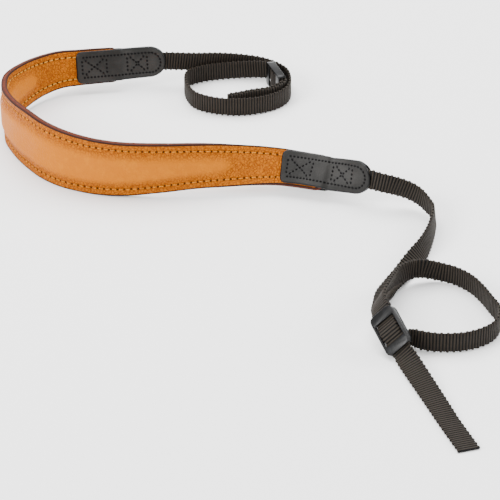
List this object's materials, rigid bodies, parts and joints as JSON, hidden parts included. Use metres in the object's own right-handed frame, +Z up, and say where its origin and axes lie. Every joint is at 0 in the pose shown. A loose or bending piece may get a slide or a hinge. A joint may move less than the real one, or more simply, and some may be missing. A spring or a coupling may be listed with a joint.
{
  "type": "camera strap",
  "caption": "Padded leather neck strap for a camera with black leather tabs and narrow ribbed webbing ends that run through sliders, lying on a surface.",
  "frame": {"origin": "centre of the strap's bounding box, on the surface it lies on", "axes": "+X to the viewer's right, +Y away from the viewer along the longest side, +Z up"},
  "size_m": [0.234, 0.3472, 0.0308],
  "materials": {
    "outer_golden_leather": "soft sheen",
    "inner_golden_leather": "soft sheen",
    "brown_painted_edge": "satin",
    "left_outer_black_leather": "soft sheen",
    "left_inner_black_leather": "soft sheen",
    "right_outer_black_leather": "soft sheen",
    "right_inner_black_leather": "soft sheen",
    "left_black_nylon": "ribbed weave",
    "right_black_nylon": "ribbed weave",
    "left_black_lacquer": "gloss",
    "right_black_lacquer": "gloss"
  },
  "bodies": {
    "root": {"pad_outer_leather": "outer_golden_leather", "pad_inner_leather": "inner_golden_leather", "pad_core": "brown_painted_edge", "left_tab_outer": "left_outer_black_leather", "left_tab_inner": "left_inner_black_leather", "right_tab_outer": "right_outer_black_leather", "right_tab_inner": "right_inner_black_leather", "left_webbing": "left_black_nylon", "right_webbing": "right_black_nylon", "left_slider": "left_black_lacquer", "right_slider": "right_black_lacquer"}
  },
  "joints": []
}
